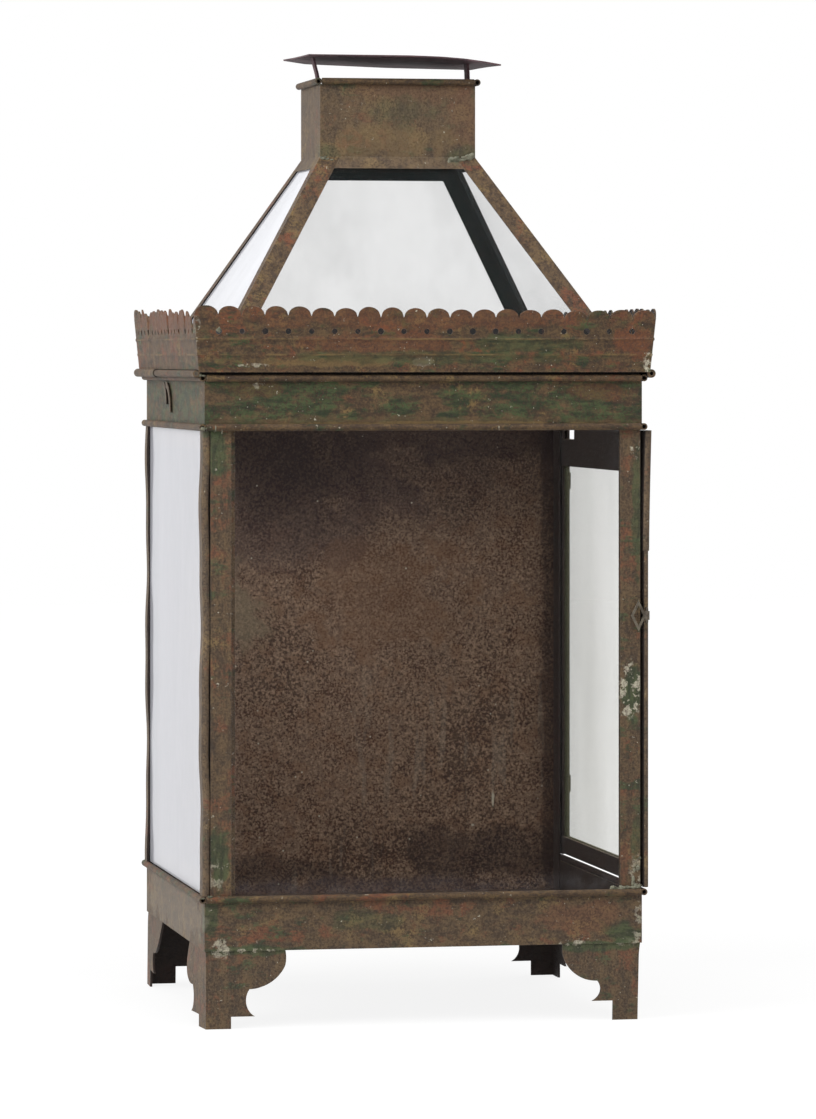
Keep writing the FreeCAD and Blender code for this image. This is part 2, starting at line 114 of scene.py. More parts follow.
class Nodes:
    """A node tree, with one way to make each node: its settings, then its sockets."""

    def __init__(self, tree):
        self.tree = tree
        self.tree.nodes.clear()

    def node(self, kind, settings=None, sockets=None, output=0):
        """Makes a node. A list feeds one socket several times, and a tuple asks for several outputs."""
        made = self.tree.nodes.new(kind)
        for key, value in (settings or {}).items():
            setattr(made, key, value)
        for key, value in (sockets or {}).items():
            if not isinstance(value, (Value, list)):
                made.inputs[key].default_value = value
                continue
            for feed in value if isinstance(value, list) else [value]:
                self.tree.links.new(feed.socket, made.inputs[key])
        if isinstance(output, tuple):
            return [Value(self, made.outputs[key]) for key in output]
        return Value(self, made.outputs[output]) if made.outputs else None

    def sum(self, operation, first, second=0.0):
        return self.node("ShaderNodeMath", {"operation": operation}, {0: first, 1: second})

    def vector(self, operation, first, second, output=0):
        return self.node("ShaderNodeVectorMath", {"operation": operation}, {0: first, 1: second}, output)

    def part(self, vector, axis):
        return self.node("ShaderNodeSeparateXYZ", {}, {0: vector}, axis)

    def rise(self, value, low, high):
        """0 below low, 1 above high and smooth between them."""
        sockets = {"Value": value, "From Min": low, "From Max": high}
        return self.node("ShaderNodeMapRange", {"interpolation_type": "SMOOTHSTEP"}, sockets, "Result")

    def noise(self, scale, detail=4.0, roughness=0.6, place=None, distortion=0.0):
        sockets = {"Vector": place or self.place, "Scale": scale, "Detail": detail,
                   "Roughness": roughness, "Distortion": distortion}
        return self.node("ShaderNodeTexNoise", {}, sockets, "Fac")


class Finish(Nodes):
    """One material, built from patterns on the piece's own coordinates."""

    RAGGED = 2.4

    def __init__(self, name):
        self.material = bpy.data.materials.new(name)
        self.material.use_nodes = True
        super().__init__(self.material.node_tree)
        self.place = self.node("ShaderNodeTexCoord", output="Object")

    def stretched(self, stretch, shift=(0, 0, 0)):
        return self.node("ShaderNodeMapping", {}, {"Vector": self.place, "Location": shift, "Scale": stretch})

    def cells(self, scale, place=None):
        sockets = {"Vector": place or self.place, "Scale": scale}
        return self.node("ShaderNodeTexVoronoi", {"feature": "F1"}, sockets, "Distance")

    def blend(self, share, under, over):
        return self.node("ShaderNodeMix", {"data_type": "RGBA", "clamp_factor": True},
                         {0: share, 6: under, 7: over}, 2)

    def spot(self, centre, reach, ragged):
        """1 in a ragged patch about a centre, in millimetres, and 0 outside it."""
        away = self.vector("SUBTRACT", self.place, tuple(v * MM for v in centre))
        away = self.vector("DIVIDE", away, tuple(v * MM for v in reach))
        away = self.vector("LENGTH", away, (0, 0, 0), "Value")
        return self.rise(1.0 + (ragged - 0.5) * self.RAGGED - away, 0.0, 0.4)

    def worn_edges(self, radius):
        """About 1 on the corners of a piece and 0 on its flat faces."""
        soft = self.node("ShaderNodeBevel", {"samples": 4}, {"Radius": radius})
        flat = self.node("ShaderNodeNewGeometry", output="Normal")
        return self.rise(1 - self.vector("DOT_PRODUCT", soft, flat, "Value"), 0.02, 0.25)

    def facing_in(self):
        """1 on faces that look towards the lantern's upright middle line, 0 on the others."""
        normal = self.vector("MULTIPLY", self.node("ShaderNodeTexCoord", output="Normal"), (1, 1, 0))
        return self.rise(0 - self.vector("DOT_PRODUCT", normal, self.place, "Value"), 0.004, 0.03)

    def bump(self, height, distance, strength):
        sockets = {"Height": height, "Distance": distance, "Strength": strength}
        return self.node("ShaderNodeBump", {}, sockets)

    def surface(self, sockets):
        shader = self.node("ShaderNodeBsdfPrincipled", {}, sockets)
        self.node("ShaderNodeOutputMaterial", {}, {"Surface": shader})
        return self.material


class Shape(Nodes):
    """A rule for a repeated form, with its sizes as named inputs."""

    KINDS = {float: "NodeSocketFloat", int: "NodeSocketInt", tuple: "NodeSocketVector"}

    def __init__(self, name, sizes):
        super().__init__(bpy.data.node_groups.new(name, "GeometryNodeTree"))
        face = self.tree.interface
        face.new_socket(name="Geometry", in_out="OUTPUT", socket_type="NodeSocketGeometry")
        self.keys = {}
        for key, kind in sizes.items():
            made = face.new_socket(name=key, in_out="INPUT", socket_type=self.KINDS[kind])
            self.keys[key] = made.identifier
        made = face.new_socket(name="Finish", in_out="INPUT", socket_type="NodeSocketMaterial")
        self.keys["Finish"] = made.identifier
        names = tuple(self.keys)
        self.given = dict(zip(names, self.node("NodeGroupInput", output=names)))

    def size(self, key):
        return self.given[key]

    def chance(self, low, high, key, seed):
        """A random number from low to high for each key."""
        sockets = {2: low, 3: high, 7: key, 8: seed}
        return self.node("FunctionNodeRandomValue", {"data_type": "FLOAT"}, sockets, 1)

    def end(self, geometry):
        whole = self.node("GeometryNodeRealizeInstances", {}, {"Geometry": geometry})
        sockets = {"Geometry": whole, "Material": self.size("Finish")}
        dressed = self.node("GeometryNodeSetMaterial", {}, sockets)
        self.node("NodeGroupOutput", {}, {"Geometry": dressed})

    def mesh(self, sizes):
        """The plain mesh that the rule makes for one set of sizes."""
        holder = bpy.data.objects.new("holder", bpy.data.meshes.new("holder"))
        bpy.context.scene.collection.objects.link(holder)
        rule = holder.modifiers.new("rule", "NODES")
        rule.node_group = self.tree
        for key, value in sizes.items():
            rule[self.keys[key]] = value
        shown = holder.evaluated_get(bpy.context.evaluated_depsgraph_get())
        made = bpy.data.meshes.new_from_object(shown)
        bpy.data.objects.remove(holder)
        return made


# Colours of the worn finishes
UMBER = tone(64, 49, 37)
EARTH = tone(103, 82, 57)
OCHRE = tone(132, 108, 68)
# This near-black is soot where grime lies at random, and painted shade on inner faces and below the shade
# line
SOOT_AND_SHADE = tone(34, 27, 27)
RUST = tone(122, 72, 46)
PRIMER = tone(99, 63, 47)
GREEN = tone(68, 82, 50)
DEEP_GREEN = tone(40, 52, 31)
CREAM = tone(208, 202, 178)
DUST = tone(148, 138, 124)


# A spot is a colour's name, a centre and a reach in millimetres, and a strength.
def worn_paint(name, green, rust, chips, ochre=0.4, along=False, dusty=0.0, spots=(), scribed=(),
               shade_below=-1.0):
    """Old green oil paint over brown primer, worn through to rust and chipped to its pale undercoat.

    A film of dust greys it, scribed heights are made bright, partly as rubbed paint and partly as a painted
    highlight on the fold, and what is below a given height is painted dark as shade. Both heights are in
    millimetres.
    """
    f = Finish(name)
    upright = f.stretched((1.0, 1.0, 0.30))
    level = f.stretched((0.30, 0.30, 1.0), (3.1, 1.7, 0.4))
    aside = f.stretched((1.0, 1.0, 1.0), (0.7, 0.2, 0.9))
    way = level if along else upright
    broad = f.noise(26, 5, 0.6)
    patch = f.noise(75, 6, 0.68, distortion=0.5)
    streak = f.noise(190, 5, 0.7, way)
    brush = f.noise(120, 5, 0.68, level)
    grain = f.noise(620, 5, 0.72)
    body = f.blend(f.rise(grain * 0.5 + streak * 0.5, 0.40, 0.60), UMBER, EARTH)
    yellow = f.rise(f.noise(52, 6, 0.66, aside), 0.66 - 0.24 * ochre, 0.72 - 0.14 * ochre)
    body = f.blend(yellow * f.rise(grain, 0.38, 0.58) * 0.8, body, OCHRE)
    red = f.rise(patch * 0.55 + f.noise(40, 5, 0.6, level) * 0.45, 0.62 - 0.16 * rust, 0.67 - 0.12 * rust)
    rusty = f.blend(f.rise(grain, 0.42, 0.58), PRIMER, RUST)
    body = f.blend(red * f.rise(streak, 0.36, 0.54) * 0.9, body, rusty)
    shade = f.blend(f.rise(streak, 0.40, 0.60), DEEP_GREEN, GREEN)
    kept = broad * 0.27 + patch * 0.33 + brush * 0.4
    cover = f.rise(kept, 0.62 - 0.19 * green, 0.66 - 0.15 * green) * f.rise(grain, 0.36, 0.50)
    body = f.blend(cover * 0.92, body, shade)
    grime = f.rise(f.noise(260, 6, 0.74), 0.50, 0.64)
    body = f.blend(grime * 0.42, body, SOOT_AND_SHADE)
    pale = f.blend(f.rise(grain, 0.4, 0.6), DUST, CREAM)
    flake = f.noise(330, 4, 0.65, aside)
    blister = f.noise(190, 5, 0.68, aside)
    looks = {"green": shade, "cream": pale, "rust": rusty, "ochre": OCHRE, "brown": EARTH, "dust": DUST}
    lost = f.noise(60, 5, 0.62, aside)
    for colour, centre, reach, strength in spots:
        there = f.spot(centre, reach, blister if colour == "cream" else lost) * strength
        if colour == "cream":
            there = there * f.rise(blister, 0.50, 0.54)
        body = f.blend(there, body, looks[colour])
    near = f.rise(lost, 0.50, 0.60)
    fleck = f.rise(flake, 0.67 - 0.06 * chips, 0.70 - 0.05 * chips)
    speck = f.rise(0.07 + 0.07 * chips - f.cells(260), 0.0, 0.03) * f.rise(f.noise(90, 2, 0.5), 0.54, 0.60)
    bare = fleck * near + speck
    body = f.blend(bare, body, pale)
    edge = f.worn_edges(0.0007) * f.rise(grain * 0.5 + patch * 0.5, 0.42, 0.56)
    body = f.blend(edge * 0.5, body, DUST)
    up = f.part(f.place, "Z")
    # Bright lines along the scribed folds: partly rubbed paint, partly a painted highlight on each fold's
    # ridge
    for height in scribed:
        line = f.rise(0.0009 - f.sum("ABSOLUTE", up - height * MM), 0.0, 0.0007)
        body = f.blend(line * f.rise(brush, 0.45, 0.60) * 0.6, body, OCHRE)
    body = f.blend(dusty * f.rise(grain, 0.3, 0.6), body, DUST)
    # Everything below the shade line is painted near black: painted shade of the gap behind the gallery, seen
    # through its holes
    body = f.blend(f.rise(shade_below * MM - up, 0.0, 0.004), body, SOOT_AND_SHADE)
    # Faces turned inwards are darkened nearly to soot: partly soot, partly painted shade of the dark inside
    body = f.blend(f.facing_in() * 0.88, body, SOOT_AND_SHADE)
    height = grain * 0.6 + patch * 0.5 + cover * 0.4 - bare * 0.6 - grime * 0.4
    return f.surface({
        "Base Color": body, "Roughness": 0.46 + grain * 0.3 - cover * 0.06,
        "Normal": f.bump(height, 0.0007, 0.7),
        "Specular IOR Level": 0.28, "Sheen Weight": 0.05, "Sheen Roughness": 0.4,
    })


def rusty_sheet(name, dark, spots=()):
    """Bare sheet iron gone brown, with fine dark rust specks, run marks, a few splashes and placed stains."""
    f = Finish(name)
    aside = f.stretched((1.0, 1.0, 1.0), (1.3, 0.1, 0.6))
    broad = f.noise(9, 4, 0.6)
    patch = f.noise(38, 6, 0.7)
    grain = f.noise(640, 5, 0.74)
    runs = f.noise(95, 3, 0.55, f.stretched((1.0, 1.0, 0.12)))
    up = f.part(f.place, "Z")
    across = f.part(f.place, "X")
    base = f.blend(f.rise(patch * 0.55 + broad * 0.45, 0.40, 0.60), tone(99, 80, 68), tone(133, 109, 90))
    base = f.blend(f.rise(grain, 0.44, 0.60) * 0.7, base, tone(170, 141, 116))
    warm = f.rise(f.noise(60, 5, 0.65, aside), 0.50, 0.60)
    base = f.blend(warm * 0.4, base, tone(122, 90, 68))
    specks = f.rise(f.noise(560, 5, 0.72) * 0.65 + patch * 0.35, 0.515, 0.55)
    pits = f.rise(f.noise(430, 5, 0.74, aside) * 0.65 + broad * 0.35, 0.53, 0.565)
    base = f.blend(specks * 0.82, base, tone(60, 36, 29))
    base = f.blend(pits * 0.72, base, tone(42, 29, 27))
    stain = f.noise(30, 5, 0.62, aside)
    looks = {"plum": tone(74, 61, 62), "soot": tone(38, 30, 31), "dust": tone(132, 120, 98),
             "warm": tone(122, 92, 70), "cream": CREAM}
    for colour, centre, reach, strength in spots:
        base = f.blend(f.spot(centre, reach, stain) * strength, base, looks[colour])
    smoke = f.rise(up + broad * 0.16, 0.36, 0.48) * 0.7 + f.rise(across + broad * 0.04, 0.145, 0.17) * 0.3
    base = f.blend(smoke, base, tone(40, 31, 31))
    base = f.blend(dark, base, tone(30, 24, 24))
    drip = f.rise(runs, 0.60, 0.70) * f.rise(0.27 - up, 0.0, 0.1)
    base = f.blend(drip * 0.20, base, DUST)
    splash = f.rise(0.09 - f.cells(130, aside), 0.0, 0.02) * f.rise(f.noise(45, 2, 0.5), 0.56, 0.60)
    base = f.blend(splash * 0.8, base, CREAM)
    return f.surface({
        "Base Color": base, "Roughness": 0.62 + grain * 0.2,
        "Normal": f.bump(grain * 0.6 - specks * 0.5, 0.0005, 0.6), "Specular IOR Level": 0.25,
    })


def smoked_iron(name, light, dark):
    """Brown paint gone plum with soot, or near black where it is painted shade."""
    f = Finish(name)
    patch = f.noise(60, 5, 0.65)
    grain = f.noise(600, 3, 0.6)
    base = f.blend(f.rise(patch, 0.38, 0.62), dark, light)
    base = f.blend(f.rise(grain, 0.48, 0.66) * 0.3, base, tone(96, 70, 62))
    edge = f.worn_edges(0.0008) * f.rise(grain, 0.42, 0.60)
    base = f.blend(edge * 0.25, base, DUST)
    return f.surface({
        "Base Color": base, "Roughness": 0.55 + grain * 0.2,
        "Normal": f.bump(grain * 0.5 + patch, 0.0005, 0.4), "Specular IOR Level": 0.2,
    })


def wire_iron(name, light, dark):
    """Grey brown iron wire, strip and solder, rubbed bright where it is handled."""
    f = Finish(name)
    patch = f.noise(130, 5, 0.65)
    grain = f.noise(900, 3, 0.6)
    base = f.blend(f.rise(patch, 0.38, 0.62), dark, light)
    base = f.blend(f.rise(grain, 0.5, 0.7) * 0.5, base, tone(84, 60, 46))
    base = f.blend(f.worn_edges(0.0004) * 0.5, base, tone(150, 152, 130))
    return f.surface({
        "Base Color": base, "Roughness": 0.5 + grain * 0.2, "Metallic": 0.2,
        "Normal": f.bump(grain + patch, 0.0004, 0.5),
    })


def old_glass(name, haze, painted_reflection, film, gloss=tone(232, 233, 240), mirror=0.5, dirt=0.0,
              rim=(1.0, -1.0), deep=0.0, shade_below=-1.0):
    """Window glass: clear when faced, with a thin film, dirt by its edges and a painted pale reflection at a
    low angle.

    The rim is the half width and the foot of the pane, in metres. The film can grow deeper towards the
    back, and below a given height in millimetres the glass is painted nearly opaque and dark as shade.
    """
    f = Finish(name)
    facing = f.node("ShaderNodeLayerWeight", {}, {"Blend": 0.5}, "Facing")
    smear = f.noise(14, 4, 0.6, f.stretched((1.0, 1.0, 0.35)))
    dust = f.rise(f.noise(1100, 2, 0.5), 0.66, 0.72)
    side = f.rise(f.sum("ABSOLUTE", f.part(f.place, "X")), rim[0] - 0.010, rim[0]) * 0.5
    foot = f.rise(0 - f.part(f.place, "Z"), -rim[1] - 0.016, -rim[1])
    edge = f.sum("MAXIMUM", side, foot) * f.rise(f.noise(90, 6, 0.7), 0.35, 0.70) * dirt
    # Painted reflection: a pale colour and opacity that grow as the glass is seen edge on, for the white room
    # mirrored in it
    painted_reflection_share = painted_reflection * (facing ** 4)
    veil = haze * (0.7 + 0.6 * f.rise(smear, 0.35, 0.7)) + dust * 0.02
    veil = veil + deep * f.rise(f.part(f.place, "Y"), -0.1, 0.15)
    # The pale share is dirt by the edges plus the painted reflection, both in the gloss colour
    pale = f.sum("MINIMUM", edge + painted_reflection_share, 1.0)
    # Below the shade line the glass is painted nearly opaque and dark: painted shade behind the gallery
    soot = f.rise(shade_below * MM - f.part(f.place, "Z"), 0.0, 0.004) * 0.985
    tint = f.blend(pale / (pale + veil + 0.001), film, gloss)
    return f.surface({
        "Base Color": f.blend(soot, tint, SOOT_AND_SHADE),
        "Roughness": 0.1 + 0.6 * soot, "Alpha": f.sum("MAXIMUM", pale + veil, soot),
        "IOR": 1.5, "Specular IOR Level": mirror,
        "Normal": f.bump(f.noise(22, 2, 0.5), 0.002, 0.15),
    })


# Chips along the seam between the plinth and the front feet
seam_chips = [
    ("green", (-116, -135, 52), (44, 20, 4), 0.8), ("cream", (-138, -135, 54), (9, 20, 6), 0.65),
    ("cream", (-118, -135, 52), (16, 20, 1.6), 0.7), ("green", (118, -135, 50), (44, 20, 4.5), 0.85),
    ("cream", (100, -135, 53), (9, 20, 2), 0.8), ("cream", (138, -135, 53), (8, 20, 3), 0.6),
]
frieze_finish = worn_paint("frieze_paint", 0.88, 0.42, 0.4, along=True, spots=[
    ("brown", (0, -135, 405), (190, 30, 5), 0.5), ("ochre", (20, -135, 404), (120, 20, 2.6), 0.6),
    ("rust", (-118, -135, 428), (26, 20, 7), 0.3), ("rust", (120, -135, 426), (26, 20, 7), 0.4),
    ("cream", (-112, -135, 430), (5, 20, 2.4), 0.4),
])
gallery_finish = worn_paint("gallery_paint", 0.55, 0.8, 0.3, along=True, scribed=SCRIBED_LINES, spots=[
    ("rust", (0, -141, 476), (175, 12, 10), 0.4), ("cream", (155, -141, 446), (5, 20, 9), 0.9),
    ("dust", (-3, -141, 446), (7, 20, 3), 0.45), ("cream", (-118, -141, 443.5), (12, 20, 1.4), 0.5),
    ("rust", (-30, -140, 457), (60, 20, 9), 0.45), ("green", (70, -140, 458), (50, 20, 8), 0.6),
    ("rust", (142, -141, 460), (14, 20, 16), 0.7), ("cream", (-156, -142, 467), (2.2, 4, 12), 0.55),
    ("ochre", (-70, -140, 446), (70, 20, 4), 0.45), ("green", (10, -140, 449), (130, 20, 5), 0.5),
    ("rust", (-157, -10, 476), (10, 150, 11), 0.6),
])
plinth_spots = seam_chips + [
    ("green", (-146, -135, 70), (7, 20, 20), 0.75), ("green", (138, -135, 60), (15, 20, 10), 0.85),
    ("rust", (108, -135, 70), (34, 20, 12), 0.35), ("cream", (147, -135, 66), (3, 20, 16), 0.5),
    # The dust patch over the whole left side (x -150) is partly dust and partly a painted highlight that
    # lightens that side
    ("green", (-40, -135, 70), (26, 20, 8), 0.4), ("dust", (-150, 0, 70), (6, 170, 24), 0.3),
]
plinth_finish = worn_paint("plinth_paint", 0.45, 0.6, 0.35, ochre=0.6, along=True, dusty=0.09,
                           spots=plinth_spots)
chimney_finish = worn_paint("chimney_paint", 0.36, 0.45, 0.15, ochre=0.65, dusty=0.13, spots=[
    ("rust", (10, -39, 636), (70, 12, 14), 0.4), ("rust", (48, -39, 615), (12, 12, 26), 0.35),
    ("ochre", (-8, -39, 598), (56, 12, 14), 0.35), ("brown", (0, -39, 612), (70, 60, 40), 0.3),
    ("green", (-50, -39, 590), (9, 12, 8), 0.5), ("green", (46, -39, 589), (14, 12, 7), 0.5),
    ("green", (2, -39, 618), (24, 12, 14), 0.3), ("cream", (18, -39, 584), (3, 12, 2), 0.7),
])
foot_finish = worn_paint("foot_paint", 0.45, 0.78, 0.3, ochre=0.3, dusty=0.12, spots=seam_chips)
post_finish = worn_paint("post_paint", 0.5, 0.75, 0.5, dusty=0.08, spots=[
    ("green", (143, -134, 222), (9, 12, 22), 0.9), ("cream", (142, -134, 224), (9, 12, 20), 0.9),
    ("green", (147, -134, 340), (5, 12, 60), 0.7), ("cream", (146, -134, 388), (4, 12, 7), 0.8),
    ("green", (-142, -134, 385), (9, 12, 18), 0.8), ("green", (-140, -134, 112), (8, 12, 22), 0.8),
    ("cream", (-142, -134, 102), (5, 12, 11), 0.45), ("cream", (147, -134, 100), (5, 12, 12), 0.5),
    ("rust", (138, -134, 106), (4, 12, 20), 0.5), ("green", (146, -134, 120), (5, 12, 24), 0.6),
])
hip_finish = worn_paint("hip_rust", 0.1, 0.6, 0.15, ochre=0.6, shade_below=SHADE_LINE_HEIGHT)
bead_finish = worn_paint("bead_paint", 0.45, 0.6, 0.5, ochre=0.5, along=True)
light_finish = worn_paint("light_paint", 0.35, 0.5, 0.3, dusty=0.16)
rusted = rusty_sheet("rusty_sheet", 0.0, spots=[
    ("plum", (-70, 132, 350), (130, 40, 70), 0.45), ("soot", (80, 132, 398), (110, 40, 30), 0.4),
    ("soot", (146, 132, 240), (9, 40, 260), 0.5), ("dust", (-105, 132, 272), (44, 40, 46), 0.55),
    ("warm", (20, 132, 280), (70, 40, 50), 0.35), ("plum", (-130, 132, 240), (16, 40, 190), 0.3),
    ("soot", (90, 132, 90), (70, 40, 26), 0.55), ("soot", (-70, 132, 78), (80, 40, 14), 0.5),
    ("plum", (0, 132, 64), (150, 40, 12), 0.5), ("cream", (103, 132, 128), (1.6, 40, 8), 0.7),
    ("cream", (88, 132, 110), (2.4, 40, 1.6), 0.6),
])
sooty_floor = rusty_sheet("sooty_floor", 0.6)
smoked = smoked_iron("smoked_iron", tone(98, 73, 78), tone(68, 51, 57))
# Near-black iron for the eaves ledge, collar and roof rails: painted shade, so the gallery's holes look dark
shade_black = smoked_iron("blackened_iron", tone(17, 15, 15), tone(10, 9, 9))
wire = wire_iron("wire_iron", tone(108, 100, 86), tone(66, 58, 50))
solder = wire_iron("solder_grey", tone(132, 131, 112), tone(72, 73, 56))
# The left panes take the strongest painted reflection, a pale colour seen edge on
side_glass = old_glass("left_glass", haze=0.05, painted_reflection=1.0, film=tone(158, 158, 172), deep=0.17)
front_glass = old_glass("front_glass", haze=0.012, painted_reflection=0.1, film=tone(60, 58, 60), mirror=0.2,
                        dirt=0.025, rim=(0.133, 0.089))
door_glass = old_glass("door_glass", haze=0.08, painted_reflection=0.25, film=tone(126, 130, 90),
                       gloss=tone(228, 231, 204), deep=0.16)
roof_glass = old_glass("roof_glass", haze=0.08, painted_reflection=0.1, film=tone(24, 44, 44), mirror=0.25,
                       shade_below=SHADE_LINE_HEIGHT)
white_roof_glass = old_glass("white_roof_glass", haze=0.2, painted_reflection=1.25, film=tone(226, 229, 238),
                             shade_below=SHADE_LINE_HEIGHT)

# The finish of each node, by the start of its name; the first match counts
FINISHES = [
    ("foot_", foot_finish), ("post_", post_finish), ("plinth_band", plinth_finish),
    ("plinth_beads", bead_finish), ("floor_plate", sooty_floor), ("back_panel", rusted),
    ("front_glass", front_glass),
    ("left_light_glass", side_glass), ("left_light_", light_finish), ("frieze_band", frieze_finish),
    ("frieze_vent_lip", light_finish), ("frieze_", bead_finish), ("lid_hinge_wire", wire),
    ("lid_hinge_", bead_finish), ("door_glass", door_glass), ("door_hinge_pins", wire),
    ("door_", light_finish), ("hasp_", wire), ("gallery_right_roll", bead_finish),
    ("gallery_", gallery_finish), ("roof_glass_left", white_roof_glass), ("roof_glass_", roof_glass),
    # The eaves ledge, collar and roof rails take the near-black painted shade
    ("hip_", hip_finish), ("cap_", smoked), ("eaves_ledge", shade_black),
    ("lid_collar", shade_black), ("roof_rails", shade_black), ("chimney_beads", bead_finish),
    ("chimney_", chimney_finish), ("vent_cap", smoked),
]
for name, piece in nodes.items():
    finish = next(f for start, f in FINISHES if name.startswith(start))
    piece.data.materials.clear()
    piece.data.materials.append(finish)


# Worked pieces
def place(name, mesh, body, slot, *stands_for):
    """A finished piece, which rides on a body and may stand for CAD nodes."""
    made = bpy.data.objects.new(name, mesh)
    bpy.context.scene.collection.objects.link(made)
    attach(made, body)
    if stands_for:
        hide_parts(*stands_for)


def tidied(shape, mesh, smooth):
    """Joins loose corners, turns every face outwards and smooths faces that meet at a low angle."""
    bmesh.ops.remove_doubles(shape, verts=shape.verts, dist=CLOSE)
    bmesh.ops.recalc_face_normals(shape, faces=shape.faces)
    shape.to_mesh(mesh)
    shape.free()
    mesh.polygons.foreach_set("use_smooth", [True] * len(mesh.polygons))
    mesh.set_sharp_from_angle(angle=math.radians(smooth))
    return mesh


def finished(shape, name, finish):
    """A new mesh of a shape, with its finish."""
    mesh = bpy.data.meshes.new(name)
    mesh.materials.append(finish)
    return tidied(shape, mesh, LOW_ANGLE)


def gallery_rule():
    """A flared strip with a scalloped head, a hole at each valley and a fold under the holes."""
    r = Shape("gallery_strip", {
        "Half Foot": float, "Flare": float, "Height": float, "Lift": float, "Rise": float, "Count": int,
        "Hole Radius": float, "Hole Height": float, "Sheet": float, "Tilt": float, "Dip": float, "Sag": float,
        "Upper Line": float, "Lower Line": float, "Wear": float, "Seed": int})
    count, height, sheet, seed = r.size("Count"), r.size("Height"), r.size("Sheet"), r.size("Seed")
    grid = r.node("GeometryNodeMeshGrid", {}, {
        "Size X": 1.0, "Size Y": 1.0, "Vertices X": count * SCALLOP_STEPS + 1, "Vertices Y": GALLERY_ROWS})
    where = r.node("GeometryNodeInputPosition")
    share = r.part(where, "X")
    level = r.part(where, "Y") + 0.5
    step = (share + 0.5) * count
    cell = r.sum("FLOOR", r.sum("MINIMUM", step, count - 0.01))
    across = (step - cell) * 2 - 1
    arch = r.sum("SQRT", r.sum("MAXIMUM", 1 - across * across, 0.0))
    wear = r.size("Wear")
    worn = arch * r.size("Rise") * (1 + wear * r.chance(-0.22, 0.12, cell, seed))
    high = level ** 4
    lift = r.size("Lift")
    near_end = r.rise(share, 0.30, 0.42) * r.rise(0.497 - share, 0.0, 0.03)
    z = lift + level * (height - r.size("Rise") - lift) + high * worn
    ends = r.rise(0.5 - r.sum("ABSOLUTE", share), 0.0, 0.06)
    z = z - high * (share * 2 * r.size("Tilt")) - high * near_end * r.size("Dip")
    z = z - high * ends * r.size("Sag")
    up = z / height
    half = r.size("Half Foot") + r.size("Flare") * up
    lean = r.chance(-1.0, 1.0, cell, seed + 5) * wear * (level ** 6) * (SCALLOP_LEAN * MM)
    along = r.node("ShaderNodeCombineXYZ", {}, {0: share * 0.6, 1: level * 0.1, 2: seed})
    swell = r.noise(9.0, 2.0, 0.5, along) - 0.5
    upper = 1 - r.rise(r.sum("ABSOLUTE", z - r.size("Upper Line")), 0.0, LINE_REACH * MM)
    lower = 1 - r.rise(r.sum("ABSOLUTE", z - r.size("Lower Line")), 0.0, LINE_REACH * MM)
    inward = r.sum("MINIMUM", lean + swell * (STRIP_SWELL * MM) * wear * up, 0.0)
    out = r.size("Flare") * up + inward * ends + (upper + 0.6 * lower) * (LINE_DEPTH * MM)
    spot = r.node("ShaderNodeCombineXYZ", {}, {0: share * 2 * half, 1: 0 - out, 2: z})
    face = r.node("GeometryNodeSetPosition", {}, {"Geometry": grid, "Position": spot})
    inwards = r.node("ShaderNodeCombineXYZ", {}, {1: sheet})
    thick, top = r.node("GeometryNodeExtrudeMesh", {"mode": "FACES"}, {
        "Individual": False, "Mesh": face, "Offset": inwards}, ("Mesh", "Top"))
    now = r.node("GeometryNodeInputPosition")
    mitre = 1 - sheet / r.size("Half Foot")
    inner = r.node("ShaderNodeCombineXYZ", {}, {
        0: r.part(now, "X") * mitre, 1: r.part(now, "Y"), 2: r.part(now, "Z")})
    back = r.node("GeometryNodeSetPosition", {}, {"Geometry": thick, "Selection": top, "Position": inner})
    flipped = r.node("GeometryNodeFlipFaces", {}, {"Mesh": face})
    shut = r.node("GeometryNodeJoinGeometry", {}, {0: [flipped, back]})
    plate = r.node("GeometryNodeMergeByDistance", {}, {"Geometry": shut, "Distance": CLOSE})
    hole_up = r.size("Hole Height") / height
    pitch = 2 * (r.size("Half Foot") + r.size("Flare") * hole_up) / count
    first = r.node("ShaderNodeCombineXYZ", {}, {
        0: pitch * (1 - count * 0.5), 1: 0 - r.size("Flare") * hole_up, 2: r.size("Hole Height")})
    line = r.node("GeometryNodeMeshLine", {"mode": "OFFSET"}, {
        "Count": count - 1, "Start Location": first,
        "Offset": r.node("ShaderNodeCombineXYZ", {}, {0: pitch})})
    punch = r.node("GeometryNodeMeshCylinder", {}, {
        "Vertices": HOLE_CORNERS, "Radius": r.size("Hole Radius"), "Depth": PUNCH_LENGTH * MM}, "Mesh")
    punch = r.node("GeometryNodeTransform", {}, {"Geometry": punch, "Rotation": (math.pi / 2, 0, 0)})
    index = r.node("GeometryNodeInputIndex")
    punches = r.node("GeometryNodeInstanceOnPoints", {}, {
        "Points": line, "Instance": punch, "Scale": r.chance(0.9, 1.12, index, seed + 9)})
    pierced = r.node("GeometryNodeMeshBoolean", {"operation": "DIFFERENCE", "solver": "EXACT"}, {
        0: plate, 1: r.node("GeometryNodeRealizeInstances", {}, {"Geometry": punches})}, "Mesh")
    r.end(pierced)
    return r


